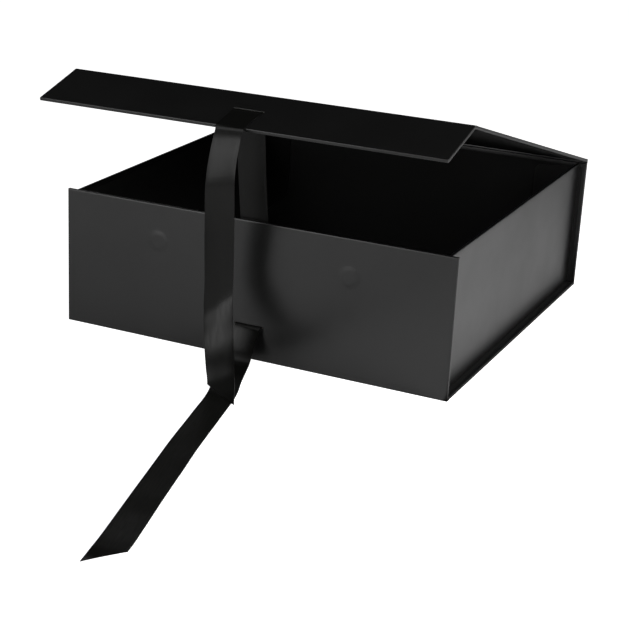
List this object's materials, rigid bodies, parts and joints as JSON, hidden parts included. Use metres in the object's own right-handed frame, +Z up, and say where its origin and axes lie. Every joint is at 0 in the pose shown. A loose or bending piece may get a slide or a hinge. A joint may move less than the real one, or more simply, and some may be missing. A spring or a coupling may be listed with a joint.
{
  "type": "gift box",
  "caption": "Shallow square collapsible gift box with a hinged lid ajar, a magnetic front flap, inset side walls and a flat ribbon threaded through flap and front wall.",
  "frame": {"origin": "centre of the base's underside", "axes": "+X to the right seen from the front, +Y to the back where the lid is hinged, +Z up"},
  "size_m": [0.31, 0.6178, 0.1927],
  "materials": {
    "cover_paper": "black satin-laminated wrapping paper",
    "lining_paper": "black uncoated lining paper",
    "greyboard": "grey board, 2 mm",
    "card": "black card in satin-laminated paper",
    "tape": "double-sided adhesive tape",
    "magnet": "nickel-plated magnet",
    "ribbon": "black satin ribbon"
  },
  "bodies": {
    "base": {"base_board": "greyboard", "base_cover": "cover_paper", "base_lining": "lining_paper", "fold_front": "cover_paper", "fold_back": "cover_paper", "left_wall_hinge_tape": "lining_paper", "right_wall_hinge_tape": "lining_paper", "ribbon_lower_tail": "ribbon"},
    "front_wall": {"front_wall_board": "greyboard", "front_wall_cover": "cover_paper", "front_wall_lining": "lining_paper", "front_wall_magnet_left": "magnet", "front_wall_magnet_right": "magnet", "ribbon_inner_run": "ribbon"},
    "back_wall": {"back_wall_board": "greyboard", "back_wall_cover": "cover_paper", "back_wall_lining": "lining_paper", "fold_lid": "cover_paper"},
    "lid": {"lid_board": "greyboard", "lid_cover": "cover_paper", "lid_lining": "lining_paper", "fold_flap": "cover_paper"},
    "flap": {"flap_board": "greyboard", "flap_cover": "cover_paper", "flap_lining": "lining_paper", "flap_magnet_left": "magnet", "flap_magnet_right": "magnet", "ribbon_on_flap": "ribbon"},
    "left_wall": {"left_wall_board": "greyboard", "left_wall_cover": "cover_paper", "left_wall_lining": "lining_paper"},
    "right_wall": {"right_wall_board": "greyboard", "right_wall_cover": "cover_paper", "right_wall_lining": "lining_paper"},
    "ribbon_edge": {"ribbon_edge_bend": "ribbon"},
    "ribbon_hang": {"ribbon_hang_bend": "ribbon"},
    "ribbon_tail": {"ribbon_upper_tail": "ribbon"},
    "ribbon_inner": {"ribbon_inner_span": "ribbon"},
    "front_left_corner": {"front_left_corner_flap": "card", "front_left_corner_tape": "tape"},
    "back_left_corner": {"back_left_corner_flap": "card", "back_left_corner_tape": "tape"},
    "front_right_corner": {"front_right_corner_flap": "card", "front_right_corner_tape": "tape"},
    "back_right_corner": {"back_right_corner_flap": "card", "back_right_corner_tape": "tape"}
  },
  "joints": [
    {"name": "front_wall_fold", "type": "hinge", "parent": "base", "child": "front_wall", "pos_m": [0, -0.15, 0], "axis": [1, 0, 0], "range_deg": [0, 90], "deforming": ["fold_front", "ribbon_lower_tail"]},
    {"name": "back_wall_fold", "type": "hinge", "parent": "base", "child": "back_wall", "pos_m": [0, 0.15, 0], "axis": [-1, 0, 0], "range_deg": [0, 90], "deforming": ["fold_back"]},
    {"name": "lid_hinge", "type": "hinge", "parent": "back_wall", "child": "lid", "pos_m": [0, 0.15, 0.1062], "axis": [1, 0, 0], "range_deg": [-163.6, 16.4], "deforming": ["fold_lid"]},
    {"name": "flap_hinge", "type": "hinge", "parent": "lid", "child": "flap", "pos_m": [0, -0.13868, 0.19002], "axis": [1, 0, 0], "range_deg": [-31.4, 58.6], "deforming": ["fold_flap"]},
    {"name": "left_wall_fold", "type": "hinge", "parent": "base", "child": "left_wall", "pos_m": [-0.1464, 0, 0.004], "axis": [0, 1, 0], "range_deg": [0, 90], "deforming": ["left_wall_hinge_tape"]},
    {"name": "right_wall_fold", "type": "hinge", "parent": "base", "child": "right_wall", "pos_m": [0.1464, 0, 0.004], "axis": [0, -1, 0], "range_deg": [0, 90], "deforming": ["right_wall_hinge_tape"]},
    {"name": "front_left_corner_fold", "type": "hinge", "parent": "left_wall", "child": "front_left_corner", "pos_m": [-0.1464, -0.1464, 0.05], "axis": [0, 0, 1], "range_deg": [0, 90]},
    {"name": "back_left_corner_fold", "type": "hinge", "parent": "left_wall", "child": "back_left_corner", "pos_m": [-0.1464, 0.1464, 0.05], "axis": [0, 0, -1], "range_deg": [0, 90]},
    {"name": "front_right_corner_fold", "type": "hinge", "parent": "right_wall", "child": "front_right_corner", "pos_m": [0.1464, -0.1464, 0.05], "axis": [0, 0, -1], "range_deg": [0, 90]},
    {"name": "back_right_corner_fold", "type": "hinge", "parent": "right_wall", "child": "back_right_corner", "pos_m": [0.1464, 0.1464, 0.05], "axis": [0, 0, 1], "range_deg": [0, 90]},
    {"name": "ribbon_edge_turn", "type": "hinge", "parent": "flap", "child": "ribbon_edge", "pos_m": [0, -0.18675, 0.18009], "axis": [-1, 0, 0], "range_deg": [-90, 0], "deforming": ["ribbon_edge_bend"]},
    {"name": "ribbon_hang_turn", "type": "hinge", "parent": "ribbon_edge", "child": "ribbon_hang", "pos_m": [0, -0.18675, 0.18009], "axis": [1, 0, 0], "range_deg": [-58.6, 31.4], "deforming": ["ribbon_hang_bend"]},
    {"name": "ribbon_tail_turn", "type": "hinge", "parent": "ribbon_hang", "child": "ribbon_tail", "pos_m": [0, -0.18675, 0.18009], "axis": [1, 0, 0], "range_deg": [-6.56, 65.44], "deforming": ["ribbon_upper_tail"]},
    {"name": "ribbon_inner_turn", "type": "hinge", "parent": "flap", "child": "ribbon_inner", "pos_m": [0, -0.16186, 0.1838], "axis": [1, 0, 0], "range_deg": [-6.56, 65.44], "deforming": ["ribbon_inner_span"]}
  ],
  "couplings": [
    {"joint": "front_left_corner_fold", "follows": "left_wall_fold", "ratio": 1},
    {"joint": "back_left_corner_fold", "follows": "left_wall_fold", "ratio": 1},
    {"joint": "front_right_corner_fold", "follows": "right_wall_fold", "ratio": 1},
    {"joint": "back_right_corner_fold", "follows": "right_wall_fold", "ratio": 1},
    {"joint": "ribbon_edge_turn", "follows": "back_wall_fold", "ratio": -1},
    {"joint": "ribbon_hang_turn", "follows": "flap_hinge", "ratio": -1},
    {"joint": "ribbon_tail_turn", "follows": "lid_hinge", "ratio": -0.4},
    {"joint": "ribbon_inner_turn", "follows": "lid_hinge", "ratio": -0.4}
  ]
}
